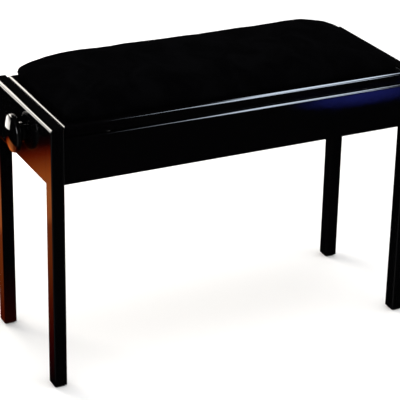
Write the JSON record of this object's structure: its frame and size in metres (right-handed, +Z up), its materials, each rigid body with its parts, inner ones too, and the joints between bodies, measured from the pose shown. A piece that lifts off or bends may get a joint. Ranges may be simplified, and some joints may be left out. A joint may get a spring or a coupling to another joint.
{
  "type": "piano bench",
  "caption": "Long height-adjustable piano bench: square legs, deep aprons, crowned velvet seat, an end knob at each side turning a spindle that drives scissor lifts.",
  "frame": {"origin": "on the floor, under the middle of the bench", "axes": "+X along the bench towards the right end, +Y from the front apron to the back apron, +Z up"},
  "size_m": [0.7508, 0.272, 0.522],
  "materials": {
    "black_lacquer": "high-gloss black polyester lacquer on wood",
    "beech": "unfinished beech",
    "plywood": "unfinished birch plywood",
    "black_velvet": "short-pile black velvet",
    "foam": "cut polyurethane foam",
    "zinc_sheet": "zinc-plated sheet steel, satin",
    "zinc_fastener": "zinc-plated turned steel",
    "dark_steel": "black oxide steel",
    "bronze": "machined bronze",
    "nylon": "natural nylon",
    "felt": "dense felt"
  },
  "bodies": {
    "frame": {"leg_front_left": "black_lacquer", "leg_front_right": "black_lacquer", "leg_back_left": "black_lacquer", "leg_back_right": "black_lacquer", "end_rail_left": "black_lacquer", "end_rail_right": "black_lacquer", "front_apron": "black_lacquer", "back_apron": "black_lacquer", "corner_blocks": "beech", "corner_block_screws": "zinc_fastener", "joint_dowels": "beech", "foot_glides": "felt", "rest_pads": "felt", "base_rail_front": "zinc_sheet", "base_rail_back": "zinc_sheet", "end_plate_left": "zinc_sheet", "end_plate_right": "zinc_sheet", "end_plate_screws": "zinc_fastener", "spindle_bush_left": "nylon", "spindle_bush_right": "nylon", "rosette_left": "black_lacquer", "rosette_right": "black_lacquer", "lower_pivot_pins": "zinc_fastener"},
    "spindle": {"spindle_rod": "zinc_fastener", "knob_left": "black_lacquer", "knob_right": "black_lacquer", "knob_set_screws": "dark_steel", "thrust_collars": "zinc_fastener"},
    "crosshead_left": {"crosshead_left": "dark_steel", "spindle_nut_left": "bronze"},
    "crosshead_right": {"crosshead_right": "dark_steel", "spindle_nut_right": "bronze"},
    "outer_arms_left": {"outer_arm_left_front": "zinc_sheet", "outer_arm_left_back": "zinc_sheet", "slide_axle_left": "zinc_fastener", "slide_sleeves_left": "nylon", "centre_rivets_left": "zinc_fastener"},
    "outer_arms_right": {"outer_arm_right_front": "zinc_sheet", "outer_arm_right_back": "zinc_sheet", "slide_axle_right": "zinc_fastener", "slide_sleeves_right": "nylon", "centre_rivets_right": "zinc_fastener"},
    "inner_arms_left": {"inner_arm_left_front": "zinc_sheet", "inner_arm_left_back": "zinc_sheet", "seat_axle_left": "zinc_fastener"},
    "inner_arms_right": {"inner_arm_right_front": "zinc_sheet", "inner_arm_right_back": "zinc_sheet", "seat_axle_right": "zinc_fastener"},
    "seat": {"moulding_front": "black_lacquer", "moulding_back": "black_lacquer", "moulding_left": "black_lacquer", "moulding_right": "black_lacquer", "seat_board": "plywood", "seat_foam": "foam", "seat_cover": "black_velvet", "cover_staples": "zinc_fastener", "seat_rail_front": "zinc_sheet", "seat_rail_back": "zinc_sheet", "seat_rail_screws": "zinc_fastener"}
  },
  "joints": [
    {"name": "seat_lift", "type": "slide", "parent": "frame", "child": "seat", "axis": [0, 0, 1], "range_m": [0, 0.08]},
    {"name": "knob_turn", "type": "hinge", "parent": "frame", "child": "spindle", "pos_m": [0, 0, 0.422], "axis": [1, 0, 0], "range_deg": [0, 2408.9]},
    {"name": "left_crosshead_travel", "type": "slide", "parent": "frame", "child": "crosshead_left", "axis": [-1, 0, 0], "range_m": [0, 0.02012]},
    {"name": "right_crosshead_travel", "type": "slide", "parent": "frame", "child": "crosshead_right", "axis": [1, 0, 0], "range_m": [0, 0.02012]},
    {"name": "left_outer_arm_swing", "type": "hinge", "parent": "frame", "child": "outer_arms_left", "pos_m": [-0.3, 0, 0.422], "axis": [0, -1, 0], "range_deg": [0, 19]},
    {"name": "right_outer_arm_swing", "type": "hinge", "parent": "frame", "child": "outer_arms_right", "pos_m": [0.3, 0, 0.422], "axis": [0, 1, 0], "range_deg": [0, 19]},
    {"name": "left_inner_arm_swing", "type": "hinge", "parent": "outer_arms_left", "child": "inner_arms_left", "pos_m": [-0.1754, 0, 0.432], "axis": [0, 1, 0], "range_deg": [0, 38]},
    {"name": "right_inner_arm_swing", "type": "hinge", "parent": "outer_arms_right", "child": "inner_arms_right", "pos_m": [0.1754, 0, 0.432], "axis": [0, -1, 0], "range_deg": [0, 38]}
  ],
  "couplings": [
    {"joint": "knob_turn", "follows": "seat_lift", "rad_per_m": 525.43},
    {"joint": "left_crosshead_travel", "follows": "seat_lift", "ratio": 0.25087},
    {"joint": "right_crosshead_travel", "follows": "seat_lift", "ratio": 0.25087},
    {"joint": "left_outer_arm_swing", "follows": "seat_lift", "rad_per_m": 4.1429},
    {"joint": "right_outer_arm_swing", "follows": "seat_lift", "rad_per_m": 4.1429},
    {"joint": "left_inner_arm_swing", "follows": "seat_lift", "rad_per_m": 8.2858},
    {"joint": "right_inner_arm_swing", "follows": "seat_lift", "rad_per_m": 8.2858}
  ]
}
